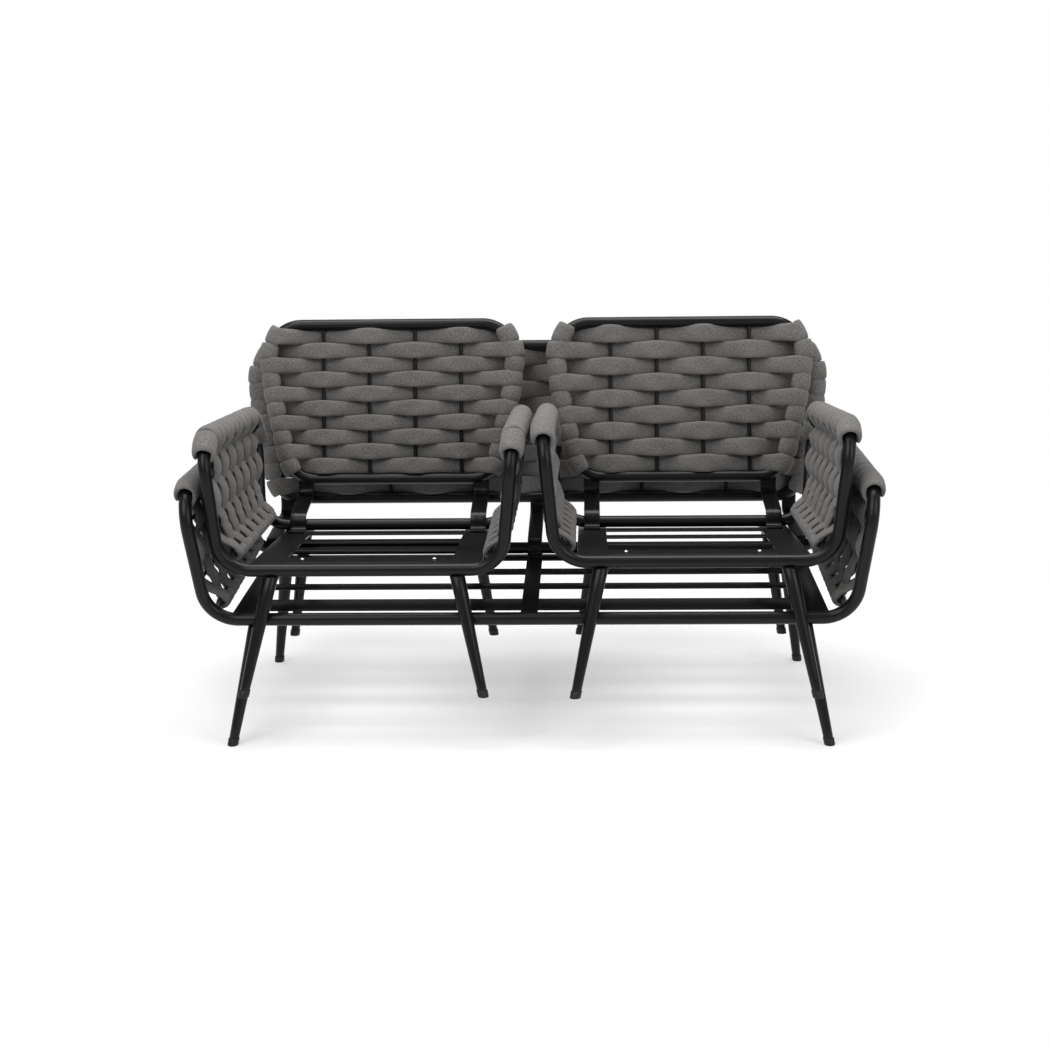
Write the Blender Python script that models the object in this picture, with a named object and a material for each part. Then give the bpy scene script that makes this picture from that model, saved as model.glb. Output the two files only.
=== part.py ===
"""Outdoor lounge sofa with two matching armchairs stacked on its seat.

Every seat is built the same way: one closed loop of bent tube makes the front rail, both arms and
the rear rail, a slatted deck is welded inside it, brackets carry a reclined back frame, and padded
straps are woven over thin rods in the back and in the arms. The sofa stands on the floor. Each
armchair straddles the sofa's front and rear tubes with its splayed legs, tilted a little back.

Metres, +Z up, the sofa's front faces -Y. The origin is on the floor, at the centre of the
footprint box.
"""
import math

import bpy
import bmesh
import numpy as np
from mathutils import Matrix, Vector

# Tube, rod and strap sizes
TUBE_R = 0.0125
ROD_R = 0.004
STRAP_T = 0.011
ROLL_R = TUBE_R + STRAP_T
SEAM_DEPTH = 0.003
BACK_CRESTS = (0.25, 0.75)
ARM_CRESTS = (0.5,)
LOW_ROLL_R = ROD_R + STRAP_T
GAP = 0.0003
TUBE_SIDES = 8
ROD_SIDES = 6
ROLL_SIDES = 8
BEND_STEP = math.radians(25)
WELD = 0.000001

# Side view shared by the three seats: front rail, rear rail, arm rail
RAIL_Y = -0.2264
RAIL_Z = 0.2374
REAR_Y = 0.224
ARM_Z = 0.492
FRONT_TOP_Y = -0.272
REAR_TOP_Y = 0.315
HOOP_R = 0.0675

# Seat deck: its top meets the back of the front rail; the sofa's rises a little to the rear
DECK_FRONT_Z = 0.2455
DECK_T = 0.005
SLAT_INSET = 0.0002
FRONT_SLAT = (-0.187, -0.116)
SLATS = ((-0.040, -0.004), (0.068, 0.106), (0.178, 0.223))

# Arm rods, as shares of the post's height, and the low rod inside the bend
ARM_ROD_SHARES = (0.775, 0.545, 0.315)
LOW_ROD_INSET = 0.0117
ARM_STRAPS = 13
ARM_PAD_T = 0.0135
ARM_TOP_SHARE = 0.93
ARM_MID_SHARE = 0.55
FOOT_TURNS = (0, -45, -90, -135, -180)
REAR_ROLL_Z = 0.430
PANEL_MARGIN = 0.018
PANEL_TOP_MARGIN = 0.026
PANEL_LOW_MARGIN = 0.032

# Back frame and its woven panel
BACK_H = 0.34
BACK_TOP_R = 0.07
BACK_LOW_R = 0.06
BACK_WAIST_R = 0.25
BACK_WAIST_V = 0.19
BACK_PAD_T = 0.0145
BACK_LOW_MARGIN = 0.026
BACK_TOP_MARGIN = 0.020
BACK_NECK = 0.034
ROLL_TURNS = (110, 66, 22, -22, -66, -110)

# Legs and their foot caps
LEG_TOP_R = 0.015
LEG_LOW_R = 0.00915
CAP_H = 0.014
CAP_STEP = 0.0013
LEG_SIDES = 12
FOOT_Y = 0.28

# Brackets: their steps behind and below the back's low tube, and how far they stand above it
BAR_T = 0.005
BAR_FOOT = 0.030
BAR_RISE = 0.021
BAR_UNDER = 0.036
BAR_OVER = 0.0005

# Fasteners
SCREW_R = 0.005
SCREW_H = 0.0022
SCREW_SIDES = 12
SCREW_CROWN = 0.7
SCREW_X = 0.13

BLACK = ("powder_coat_black", (0.018, 0.018, 0.02), 0.42, 0.0)
CAP_BLACK = ("foot_cap_black", (0.02, 0.02, 0.021), 0.6, 0.0)
STRAP_GREY = ("strap_grey", (0.115, 0.113, 0.113), 0.92, 0.0)
SCREW_STEEL = ("screw_steel", (0.55, 0.55, 0.56), 0.3, 1.0)


class Seat:
    """The sizes that differ between the sofa and an armchair."""

    def __init__(self, name, deck_rise, roll_z, corner_x, top_x, plate, tail_x, plate_rear, bracket_xs,
                 bracket_w, back_xs, back_y, back_z, recline, rods, rows, front_leg, rear_leg,
                 bar_w=0.0, extra_leg=0.0, left_extra=(0.0, 0.0), screws=False):
        self.name = name
        self.deck_rise = math.tan(math.radians(deck_rise))
        self.roll_z = roll_z
        self.corner_x = corner_x
        self.top_x = top_x
        self.plate = plate
        self.tail_x = tail_x
        self.plate_rear = plate_rear
        self.bracket_xs = bracket_xs
        self.bracket_w = bracket_w
        self.back_xs = back_xs
        self.back_y = back_y
        self.back_z = back_z
        self.recline = math.radians(recline)
        self.rods = rods
        self.rows = rows
        self.front_leg = front_leg
        self.rear_leg = rear_leg
        self.bar_w = bar_w
        self.extra_leg = extra_leg
        self.left_extra = left_extra
        self.screws = screws


def chair(name, roll_z, rows, extra_leg, left_extra):
    """An armchair; both have one pattern and differ in strap rows, front legs and the left arm."""
    return Seat(name, deck_rise=0.0, roll_z=roll_z, corner_x=0.2665, top_x=0.290, plate=(0.165, 0.225),
                tail_x=0.165, plate_rear=0.262, bracket_xs=(-0.195, 0.195), bracket_w=0.034,
                back_xs=(0.222, 0.262, 0.279), back_y=0.322, back_z=0.346, recline=7.5,
                rods=(4, 0.1016), rows=rows, front_leg=(0.180, 0.2303),
                rear_leg=(0.185, 0.246, 0.2222, 0.285), extra_leg=extra_leg,
                left_extra=left_extra, screws=True)


SOFA = Seat("sofa", deck_rise=1.2, roll_z=0.479, corner_x=0.6219, top_x=0.6529, plate=(0.529, 0.577),
            tail_x=0.5495, plate_rear=0.255, bracket_xs=(-0.568, 0.0, 0.568), bracket_w=0.031,
            back_xs=(0.585, 0.620, 0.630),
            back_y=0.41, back_z=0.341, recline=6.9, rods=(12, 0.0945), rows=9,
            front_leg=(0.529, 0.575), rear_leg=(0.540, 0.215, 0.575, 0.2625), bar_w=0.033)
LEFT = chair("left", roll_z=0.460, rows=10, extra_leg=0.0, left_extra=(0.012, 0.008))
RIGHT = chair("right", roll_z=0.469, rows=9, extra_leg=0.017, left_extra=(0.0, 0.0))

# Where each armchair sits on the sofa: sideways, lifted, and tilted about its rear feet
TILT_PIVOT = Vector((0.0, FOOT_Y, 0.0))
LEFT_PLACE = (-0.3165, 0.0593, math.radians(4.36))
RIGHT_PLACE = (0.3185, 0.0610, math.radians(5.69))


def deck_top(seat, y):
    """Height of the deck's top face."""
    return DECK_FRONT_Z + (y - RAIL_Y) * seat.deck_rise


def rear_z(seat):
    """Height of the rear rail, which lies on the deck."""
    return deck_top(seat, REAR_Y) + TUBE_R + GAP


def clear_scene():
    for obj in list(bpy.data.objects):
        bpy.data.objects.remove(obj, do_unlink=True)


def material(spec):
    """The Principled material of that name, made once."""
    name, colour, roughness, metallic = spec
    found = bpy.data.materials.get(name)
    if found:
        return found
    made = bpy.data.materials.new(name)
    made.use_nodes = True
    shader = made.node_tree.nodes["Principled BSDF"]
    shader.inputs["Base Color"].default_value = (*colour, 1.0)
    shader.inputs["Roughness"].default_value = roughness
    shader.inputs["Metallic"].default_value = metallic
    made.diffuse_color = (*colour, 1.0)
    return made


def rounded(corners, closed):
    """A path through corners, each a point with its bend radius; ends keep their points."""
    count = len(corners)
    path = []
    for i, (point, radius) in enumerate(corners):
        if radius == 0 or (not closed and i in (0, count - 1)):
            path.append(point.copy())
            continue
        back = (corners[i - 1][0] - point).normalized()
        ahead = (corners[(i + 1) % count][0] - point).normalized()
        turn = math.pi - back.angle(ahead)
        reach = radius * math.tan(turn / 2)
        centre = point + (back + ahead).normalized() * (radius / math.cos(turn / 2))
        start = point + back * reach - centre
        normal = back.cross(ahead).normalized()
        steps = max(2, math.ceil(turn / BEND_STEP))
        for k in range(steps + 1):
            path.append(centre + Matrix.Rotation(-turn * k / steps, 3, normal) @ start)
    return path


def tube_mesh(points, radius, sides, closed=False):
    """A round tube along the points, with flat ends unless it closes on itself."""
    curve = bpy.data.curves.new("tube", "CURVE")
    curve.dimensions = "3D"
    curve.bevel_depth = radius
    curve.bevel_resolution = sides // 2 - 2
    curve.use_fill_caps = not closed
    spline = curve.splines.new("POLY")
    spline.points.add(len(points) - 1)
    for place, point in zip(spline.points, points):
        place.co = (*point, 1.0)
    spline.use_cyclic_u = closed
    carrier = bpy.data.objects.new("tube", curve)
    bpy.context.scene.collection.objects.link(carrier)
    mesh = bpy.data.meshes.new_from_object(carrier)
    bpy.data.objects.remove(carrier, do_unlink=True)
    bpy.data.curves.remove(curve)
    shape = bmesh.new()
    shape.from_mesh(mesh)
    bmesh.ops.remove_doubles(shape, verts=shape.verts, dist=WELD)
    bmesh.ops.recalc_face_normals(shape, faces=shape.faces)
    shape.to_mesh(mesh)
    shape.free()
    return mesh


def loft(rings):
    """A closed solid through rings of equal count, with flat ends."""
    mesh = bpy.data.meshes.new("loft")
    shape = bmesh.new()
    loops = [[shape.verts.new(point) for point in ring] for ring in rings]
    size = len(rings[0])
    for low, high in zip(loops, loops[1:]):
        for i in range(size):
            j = (i + 1) % size
            shape.faces.new((low[i], low[j], high[j], high[i]))
    shape.faces.new(loops[0])
    shape.faces.new(loops[-1])
    bmesh.ops.recalc_face_normals(shape, faces=shape.faces)
    bmesh.ops.triangulate(shape, faces=shape.faces)
    shape.to_mesh(mesh)
    shape.free()
    return mesh


def joined(meshes):
    """Several meshes as one, to cut or to add in a single step."""
    shape = bmesh.new()
    for mesh in meshes:
        shape.from_mesh(mesh)
    whole = bpy.data.meshes.new("joined")
    shape.to_mesh(whole)
    shape.free()
    return whole


def combine(mesh, tool, operation):
    """The exact Boolean of two meshes."""
    body = bpy.data.objects.new("body", mesh)
    other = bpy.data.objects.new("tool", tool)
    bpy.context.scene.collection.objects.link(body)
    bpy.context.scene.collection.objects.link(other)
    step = body.modifiers.new("step", "BOOLEAN")
    step.operation = operation
    step.solver = "EXACT"
    step.object = other
    graph = bpy.context.evaluated_depsgraph_get()
    result = bpy.data.meshes.new_from_object(body.evaluated_get(graph))
    bpy.data.objects.remove(body, do_unlink=True)
    bpy.data.objects.remove(other, do_unlink=True)
    return result


def add(name, mesh, spec, parent, smooth=True):
    """One named sub-part, placed under its seat's empty."""
    mesh.materials.clear()
    mesh.materials.append(material(spec))
    if smooth:
        mesh.shade_smooth()
        mesh.set_sharp_from_angle(angle=math.radians(40))
    mesh.name = name
    obj = bpy.data.objects.new(name, mesh)
    bpy.context.scene.collection.objects.link(obj)
    obj.parent = parent
    return obj


def hoop_corner(seat, side, rear, top):
    """Where the straight runs of a post and a rail would meet."""
    x = seat.top_x if top else seat.corner_x
    if side < 0:
        x += seat.left_extra[int(top)]
    if top:
        return Vector((side * x, REAR_TOP_Y if rear else FRONT_TOP_Y, ARM_Z))
    return Vector((side * x, REAR_Y if rear else RAIL_Y, rear_z(seat) if rear else RAIL_Z))


def post_point(seat, side, rear, share):
    """A point on a post's straight line, from its rail (0) to its arm (1)."""
    return hoop_corner(seat, side, rear, False).lerp(hoop_corner(seat, side, rear, True), share)


def low_rod_point(seat, side, rear):
    """The low rod lies inside the bend between rail and post."""
    corner = hoop_corner(seat, side, rear, False)
    inward = Vector((-side, 0, 0))
    upward = (hoop_corner(seat, side, rear, True) - corner).normalized()
    half_turn = (math.pi - inward.angle(upward)) / 2
    bend_mid = HOOP_R / math.cos(half_turn) - HOOP_R
    return corner + (inward + upward).normalized() * (bend_mid + LOW_ROD_INSET)


def frame_path(seat):
    """The closed loop: front rail, right arm, rear rail, left arm."""
    stops = ((1, False, False), (1, False, True), (1, True, True), (1, True, False),
             (-1, True, False), (-1, True, True), (-1, False, True), (-1, False, False))
    return rounded([(hoop_corner(seat, *stop), HOOP_R) for stop in stops], closed=True)


def arm_path(seat, side):
    """One arm's own stretch of the loop, from the front rail to the rear rail."""
    inside = seat.corner_x / 2
    start = Vector((side * inside, RAIL_Y, RAIL_Z))
    end = Vector((side * inside, REAR_Y, rear_z(seat)))
    corners = [(start, 0)]
    corners += [(hoop_corner(seat, side, rear, top), HOOP_R)
                for rear, top in ((False, False), (False, True), (True, True), (True, False))]
    return rounded(corners + [(end, 0)], closed=False)


def rod_lines(seat, side):
    """Ends of an arm's rods, on the axes of the front and rear posts."""
    lines = [(post_point(seat, side, False, share), post_point(seat, side, True, share))
             for share in ARM_ROD_SHARES]
    lines.append((low_rod_point(seat, side, False), low_rod_point(seat, side, True)))
    return lines


def rod_mesh(lines, radius):
    return joined([tube_mesh(line, radius, ROD_SIDES) for line in lines])


def make_frame(seat, parent):
    """The loop of tube with the arm rods welded in."""
    loop = tube_mesh(frame_path(seat), TUBE_R, TUBE_SIDES, closed=True)
    rods = rod_mesh(rod_lines(seat, 1) + rod_lines(seat, -1), ROD_R)
    add(seat.name + "_frame", combine(loop, rods, "UNION"), BLACK, parent)


def arm_edge_y(path, z, rear):
    """Where an arm's tube is at a height, on its front or its rear half."""
    half = [p for p in path if (p.y > 0) == rear]
    half.sort(key=lambda p: p.z)
    return float(np.interp(z, [p.z for p in half], [p.y for p in half]))


def bulge_levels(count, crests):
    """Places along a row of straps, as shares, with 0 at a seam and 1 on a crest."""
    levels = [(0.0, 0.0)]
    for strap in range(count):
        levels += [((strap + span) / count, 1.0) for span in crests]
        levels.append(((strap + 1) / count, 0.0))
    return levels


def arm_ring(seat, side, path, share, bulge):
    """The panel's outline at one place along the arm."""
    half = ARM_PAD_T - (1 - bulge) * SEAM_DEPTH
    roll = LOW_ROLL_R - (1 - bulge) * SEAM_DEPTH / 2

    def along(front, rear, margin_y):
        low_y = arm_edge_y(path, front.z, False) + margin_y
        high_y = arm_edge_y(path, rear.z, True) - margin_y
        point = front.lerp(rear, share)
        point.y = low_y + (high_y - low_y) * share
        return point

    posts = ((ARM_TOP_SHARE, PANEL_TOP_MARGIN), (ARM_MID_SHARE, PANEL_MARGIN),
             (ARM_ROD_SHARES[-1], PANEL_MARGIN))
    spine = [along(post_point(seat, side, False, t), post_point(seat, side, True, t), margin)
             for t, margin in posts]
    low = along(low_rod_point(seat, side, False), low_rod_point(seat, side, True), PANEL_LOW_MARGIN)
    out = Vector((side, 0, 0))
    outer = [p + out * half for p in spine]
    inner = [p - out * half for p in reversed(spine)]
    foot = [low + Vector((side * math.cos(math.radians(a)), 0, math.sin(math.radians(a)))) * roll
            for a in FOOT_TURNS]
    return outer + foot + inner


def make_arm_straps(seat, side, parent):
    """The woven panel of one arm, with the roll over the arm rail and the rods running through."""
    path = arm_path(seat, side)
    slab = loft([arm_ring(seat, side, path, share, bulge)
                 for share, bulge in bulge_levels(ARM_STRAPS, ARM_CRESTS)])
    wrapped = [p for p in path if p.z > (REAR_ROLL_Z if p.y > 0 else seat.roll_z)]
    panel = combine(slab, tube_mesh(wrapped, ROLL_R, ROLL_SIDES), "UNION")
    loop = tube_mesh(frame_path(seat), TUBE_R + GAP, TUBE_SIDES, closed=True)
    panel = combine(panel, loop, "DIFFERENCE")
    panel = combine(panel, rod_mesh(rod_lines(seat, side), ROD_R + GAP), "DIFFERENCE")
    word = "right" if side > 0 else "left"
    add(seat.name + "_arm_straps_" + word, panel, STRAP_GREY, parent)


def back_axes(seat):
    """The back plane: its foot, its way up and its way forward."""
    foot = Vector((0, seat.back_y, seat.back_z))
    up = Vector((0, math.sin(seat.recline), math.cos(seat.recline)))
    forward = Vector((0, -math.cos(seat.recline), math.sin(seat.recline)))
    return foot, up, forward


def back_point(seat, x, v, n=0.0):
    foot, up, forward = back_axes(seat)
    return foot + Vector((x, 0, 0)) + up * v + forward * n


def back_corners(seat, side):
    low, waist, top = seat.back_xs
    return [(back_point(seat, side * low, 0), BACK_LOW_R),
            (back_point(seat, side * waist, BACK_WAIST_V), BACK_WAIST_R),
            (back_point(seat, side * top, BACK_H), BACK_TOP_R)]


def back_path(seat):
    return rounded(back_corners(seat, 1) + back_corners(seat, -1)[::-1], closed=True)


def back_half(seat):
    """The side tube's height and half width, to read the width at any height."""
    foot, up, _ = back_axes(seat)
    side = sorted(((p - foot).dot(up), p.x) for p in back_path(seat) if p.x > 0)
    return [v for v, _ in side], [x for _, x in side]


def back_rod_lines(seat):
    count, pitch = seat.rods
    xs = [(i - (count - 1) / 2) * pitch for i in range(count)]
    return [(back_point(seat, x, 0), back_point(seat, x, BACK_H)) for x in xs]


def make_back_frame(seat, parent):
    loop = tube_mesh(back_path(seat), TUBE_R, TUBE_SIDES, closed=True)
    rods = rod_mesh(back_rod_lines(seat), ROD_R)
    add(seat.name + "_back_frame", combine(loop, rods, "UNION"), BLACK, parent)


def back_ring(seat, widths, v, bulge):
    """The back panel's outline at one height: a flat pad with a roll round each side tube."""
    half = float(np.interp(v, *widths))
    pad = BACK_PAD_T - (1 - bulge) * SEAM_DEPTH
    roll = ROLL_R - (1 - bulge) * SEAM_DEPTH
    right = [(half - BACK_NECK, pad)]
    right += [(half + roll * math.cos(math.radians(a)), roll * math.sin(math.radians(a)))
              for a in ROLL_TURNS]
    right.append((half - BACK_NECK, -pad))
    left = [(-x, n) for x, n in reversed(right)]
    return [back_point(seat, x, v, n) for x, n in right + left]


def make_back_straps(seat, parent):
    """The woven back panel, wrapped round the side tubes, with the rods running through."""
    widths = back_half(seat)
    low = BACK_LOW_MARGIN
    high = BACK_H - BACK_TOP_MARGIN
    slab = loft([back_ring(seat, widths, low + (high - low) * share, bulge)
                 for share, bulge in bulge_levels(seat.rows, BACK_CRESTS)])
    panel = combine(slab, tube_mesh(back_path(seat), TUBE_R + GAP, TUBE_SIDES, closed=True), "DIFFERENCE")
    panel = combine(panel, rod_mesh(back_rod_lines(seat), ROD_R + GAP), "DIFFERENCE")
    add(seat.name + "_back_straps", panel, STRAP_GREY, parent)


def deck_slab(seat, x0, x1, y0, y1, low, high):
    """A flat bar that follows the deck's slope; low and high are heights over its top face."""
    section = ((y0, low), (y1, low), (y1, high), (y0, high))
    return loft([[Vector((x, y, deck_top(seat, y) + h)) for y, h in section] for x in (x0, x1)])


def side_plate(seat, side, front):
    """A plate from front to rear; its tail past the rear tube leaves the armchairs' legs free."""
    inner, outer = seat.plate
    neck = REAR_Y + TUBE_R
    outline = [(inner, front), (outer, front), (outer, seat.plate_rear), (seat.tail_x, seat.plate_rear)]
    if seat.tail_x > inner:
        outline += [(seat.tail_x, neck), (inner, neck)]
    return loft([[Vector((side * x, y, deck_top(seat, y) + h)) for x, y in outline] for h in (-DECK_T, 0)])


def make_deck(seat, parent):
    """Plates from front to rear, and cross slats between them, welded into one deck."""
    front = RAIL_Y + TUBE_R + GAP
    end = seat.plate[1] - GAP
    half_bar = seat.bar_w / 2
    parts = [side_plate(seat, 1, front), side_plate(seat, -1, front)]
    if seat.bar_w:
        parts.append(deck_slab(seat, -half_bar, half_bar, front, seat.plate_rear, -DECK_T, 0))
    parts += [deck_slab(seat, -end, end, y0, y1, SLAT_INSET - DECK_T, -SLAT_INSET)
              for y0, y1 in (FRONT_SLAT,) + SLATS]
    deck = parts[0]
    for part in parts[1:]:
        deck = combine(deck, part, "UNION")
    add(seat.name + "_deck", deck, BLACK, parent, smooth=False)


def bracket_line(seat):
    """The bent bar's middle line: from the deck round the rear tube, then up behind the back's tube."""
    lift = GAP + BAR_T / 2
    reach = TUBE_R + lift
    front_y = REAR_Y - reach
    rail = Vector((0, seat.back_y + reach + GAP, seat.back_z))
    return [Vector((0, front_y - BAR_FOOT, deck_top(seat, front_y - BAR_FOOT) + lift)),
            Vector((0, front_y, deck_top(seat, front_y) + lift)),
            Vector((0, front_y, rear_z(seat) + BAR_RISE)),
            rail - Vector((0, 0, BAR_UNDER)),
            rail + Vector((0, 0, BAR_OVER))]


def thick_strip(line, x0, x1):
    """A flat bar of even thickness along a line in the side view."""
    upper = []
    lower = []
    for i, point in enumerate(line):
        before = (point - line[i - 1]).normalized() if i else None
        after = (line[i + 1] - point).normalized() if i < len(line) - 1 else None
        along = ((before or after) + (after or before)).normalized()
        stretch = 1.0 / along.dot(after or before)
        normal = Vector((0, -along.z, along.y)) * (BAR_T / 2 * stretch)
        upper.append(point + normal)
        lower.append(point - normal)
    outline = upper + lower[::-1]
    return loft([[p + Vector((x, 0, 0)) for p in outline] for x in (x0, x1)])


def make_brackets(seat, parent):
    words = {-1: "left", 0: "middle", 1: "right"}
    for x in seat.bracket_xs:
        bar = thick_strip(bracket_line(seat), x - seat.bracket_w / 2, x + seat.bracket_w / 2)
        word = words[(x > 0) - (x < 0)]
        add(seat.name + "_back_bracket_" + word, bar, BLACK, parent, smooth=False)


def circle(centre, radius, sides):
    return [centre + Vector((math.cos(a), math.sin(a), 0)) * radius
            for a in (2 * math.pi * (i + 0.5) / sides for i in range(sides))]


def make_leg(seat, parent, side, end, top, foot):
    """A tapered leg and the cap under it; the cap's flat face meets the floor."""
    run = top.z - foot.z

    def at(height):
        point = foot.lerp(top, height / run)
        return point, LEG_LOW_R + (LEG_TOP_R - LEG_LOW_R) * height / run

    word = end + ("_right" if side > 0 else "_left")
    shank = [circle(*at(height), LEG_SIDES) for height in (CAP_H + GAP, run)]
    add(seat.name + "_leg_" + word, loft(shank), BLACK, parent)
    cap = []
    for height in (0.0, CAP_H):
        point, radius = at(height)
        cap.append(circle(point, radius + CAP_STEP, LEG_SIDES))
    add(seat.name + "_foot_cap_" + word, loft(cap), CAP_BLACK, parent)


def front_leg_ends(seat, side):
    """Top, under the front rail, and foot of a front leg."""
    top_x, foot_x = seat.front_leg
    return (Vector((side * top_x, RAIL_Y, RAIL_Z - TUBE_R - GAP)),
            Vector((side * foot_x, -FOOT_Y, -seat.extra_leg)))


def rear_leg_ends(seat, side):
    """Top, under the deck's side plate, and foot of a rear leg."""
    top_x, top_y, foot_x, foot_y = seat.rear_leg
    return (Vector((side * top_x, top_y, deck_top(seat, top_y - LEG_TOP_R) - DECK_T - GAP)),
            Vector((side * foot_x, foot_y, 0)))


def make_legs(seat, parent):
    for side in (-1, 1):
        make_leg(seat, parent, side, "front", *front_leg_ends(seat, side))
        make_leg(seat, parent, side, "rear", *rear_leg_ends(seat, side))


def resting_place(seat, sideways, lift, tilt):
    """The armchair's place: pushed back until its front legs meet the sofa's front rail."""
    turn = Matrix.Translation(TILT_PIVOT) @ Matrix.Rotation(-tilt, 4, "X") @ Matrix.Translation(-TILT_PIVOT)
    turn = Matrix.Translation((sideways, 0, lift)) @ turn
    top, foot = (turn @ end for end in front_leg_ends(seat, 1))
    share = (RAIL_Z - foot.z) / (top.z - foot.z)
    leg_flat = (LEG_LOW_R + (LEG_TOP_R - LEG_LOW_R) * share) * math.cos(math.pi / LEG_SIDES)
    tube_flat = TUBE_R * math.cos(math.pi / TUBE_SIDES)
    along = Vector((top.y - foot.y, top.z - foot.z)).normalized()
    ahead = Vector((-along.y, along.x))
    apart = (Vector((foot.y, foot.z)) - Vector((RAIL_Y, RAIL_Z))).dot(ahead)
    push = (apart - tube_flat - leg_flat - GAP) / along.y
    return Matrix.Translation((0, push, 0)) @ turn


def make_screws(seat, parent):
    y = sum(FRONT_SLAT) / 2
    for side in (-1, 1):
        low = Vector((side * SCREW_X, y, deck_top(seat, y + SCREW_R) + GAP))
        head = loft([circle(low, SCREW_R, SCREW_SIDES),
                     circle(low + Vector((0, 0, SCREW_H / 2)), SCREW_R, SCREW_SIDES),
                     circle(low + Vector((0, 0, SCREW_H)), SCREW_R * SCREW_CROWN, SCREW_SIDES)])
        add(seat.name + "_screw_" + ("right" if side > 0 else "left"), head, SCREW_STEEL, parent)


def make_seat(seat, root, place=None):
    """Everything of one seat, under an empty that stands where the seat is."""
    empty = bpy.data.objects.new(seat.name + "_seat", None)
    bpy.context.scene.collection.objects.link(empty)
    empty.parent = root
    make_frame(seat, empty)
    make_deck(seat, empty)
    make_brackets(seat, empty)
    make_legs(seat, empty)
    make_back_frame(seat, empty)
    make_back_straps(seat, empty)
    for side in (-1, 1):
        make_arm_straps(seat, side, empty)
    if seat.screws:
        make_screws(seat, empty)
    if place:
        empty.matrix_basis = resting_place(seat, *place)


def centre_on_floor(root):
    """Move the whole set so that the origin is the centre of its footprint box."""
    bpy.context.view_layer.update()
    corners = [obj.matrix_world @ Vector(c) for obj in bpy.data.objects if obj.type == "MESH"
               for c in ((v.co.x, v.co.y, v.co.z) for v in obj.data.vertices)]
    xs = [c.x for c in corners]
    ys = [c.y for c in corners]
    root.location = (-(min(xs) + max(xs)) / 2, -(min(ys) + max(ys)) / 2, 0)


def main():
    clear_scene()
    root = bpy.data.objects.new("lounge_set", None)
    bpy.context.scene.collection.objects.link(root)
    make_seat(SOFA, root)
    make_seat(LEFT, root, LEFT_PLACE)
    make_seat(RIGHT, root, RIGHT_PLACE)
    centre_on_floor(root)


main()
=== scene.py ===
"""The lounge sofa with two armchairs stacked on it, dressed for the photograph's view.

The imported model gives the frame. This script makes what shows: smooth tubes and legs, a deck of
rounded bars, ribbed back brackets, and every padded strap woven over its rods.
"""
import math

import bpy
import bmesh
import numpy as np
from mathutils import Matrix, Vector, noise


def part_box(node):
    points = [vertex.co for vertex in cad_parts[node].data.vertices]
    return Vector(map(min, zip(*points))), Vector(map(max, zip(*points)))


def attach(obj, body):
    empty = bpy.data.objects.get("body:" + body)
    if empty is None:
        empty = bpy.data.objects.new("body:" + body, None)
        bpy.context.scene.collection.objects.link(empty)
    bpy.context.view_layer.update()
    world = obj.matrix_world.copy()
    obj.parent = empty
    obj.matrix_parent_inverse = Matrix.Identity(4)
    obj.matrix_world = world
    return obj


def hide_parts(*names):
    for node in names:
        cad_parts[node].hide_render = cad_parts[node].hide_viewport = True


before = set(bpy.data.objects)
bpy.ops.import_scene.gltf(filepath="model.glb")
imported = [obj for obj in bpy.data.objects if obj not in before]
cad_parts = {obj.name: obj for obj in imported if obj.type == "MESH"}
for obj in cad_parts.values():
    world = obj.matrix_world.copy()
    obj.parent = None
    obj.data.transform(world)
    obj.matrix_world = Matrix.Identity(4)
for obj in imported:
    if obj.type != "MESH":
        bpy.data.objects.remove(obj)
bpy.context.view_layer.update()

# Camera: the photograph is taken as 1050 x 1050, seen from the front, a little above
PICTURE_W = 1050.0
SENSOR_MM = 36.0
FOCAL_PX = 1785.0
CAMERA_AT = (0.1122, -3.5327, 1.1823)
CAMERA_YAW = -2.0342
CAMERA_PITCH = 12.9416
CAMERA_ROLL = -0.7429

# Tube, rod and strap sizes, as in the solids
TUBE_R = 0.0125
ROD_R = 0.004
STRAP_T = 0.011
LIFT = 0.0004
GAP = 0.0003
BEND_STEP = math.radians(5)
ON_TUBE = TUBE_R + STRAP_T / 2 + LIFT
ON_ROD = ROD_R + STRAP_T / 2 + LIFT

# Side view shared by the three seats
RAIL_Y = -0.2264
RAIL_Z = 0.2374
REAR_Y = 0.224
ARM_Z = 0.492
FRONT_TOP_Y = -0.272
REAR_TOP_Y = 0.315
HOOP_R = 0.0675
DECK_FRONT_Z = 0.2455
DECK_T = 0.005
SLAT_INSET = 0.0006
SLAT_END_INSET = 0.001
EDGE_R = 0.0011
FRONT_SLAT = (-0.187, -0.116)
SLATS = ((-0.040, -0.004), (0.068, 0.106), (0.178, 0.223))

# Arm rods and the places where straps roll over the arm rail
ARM_ROD_SHARES = (0.775, 0.545, 0.315)
LOW_ROD_INSET = 0.0117
ARM_STRAPS = 13
REAR_ROLL_Z = 0.430
PANEL_MARGIN = 0.018
PANEL_TOP_MARGIN = 0.026
PANEL_LOW_MARGIN = 0.032
PANEL_TOP_FROM = 0.6
PANEL_TOP_OVER = 0.3

# Back frame
BACK_H = 0.34
BACK_TOP_R = 0.07
BACK_LOW_R = 0.06
BACK_WAIST_R = 0.25
BACK_WAIST_V = 0.19
LOW_ROW_V = 0.0285
TOP_ROW_V = 0.3145

# Legs and their caps
LEG_TOP_R = 0.015
LEG_LOW_R = 0.00915
LEG_SIDES = 36
LEG_EDGE_H = 0.001
LEG_EDGE_W = 0.0008
LEG_SUNK = 0.002
CAP_H = 0.014
CAP_STEP = 0.0013
CAP_FOOT_EDGE = 0.0012
CAP_RIM_EDGE = 0.0008
CAP_MOUTH = 0.0004
FOOT_Y = 0.28

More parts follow.
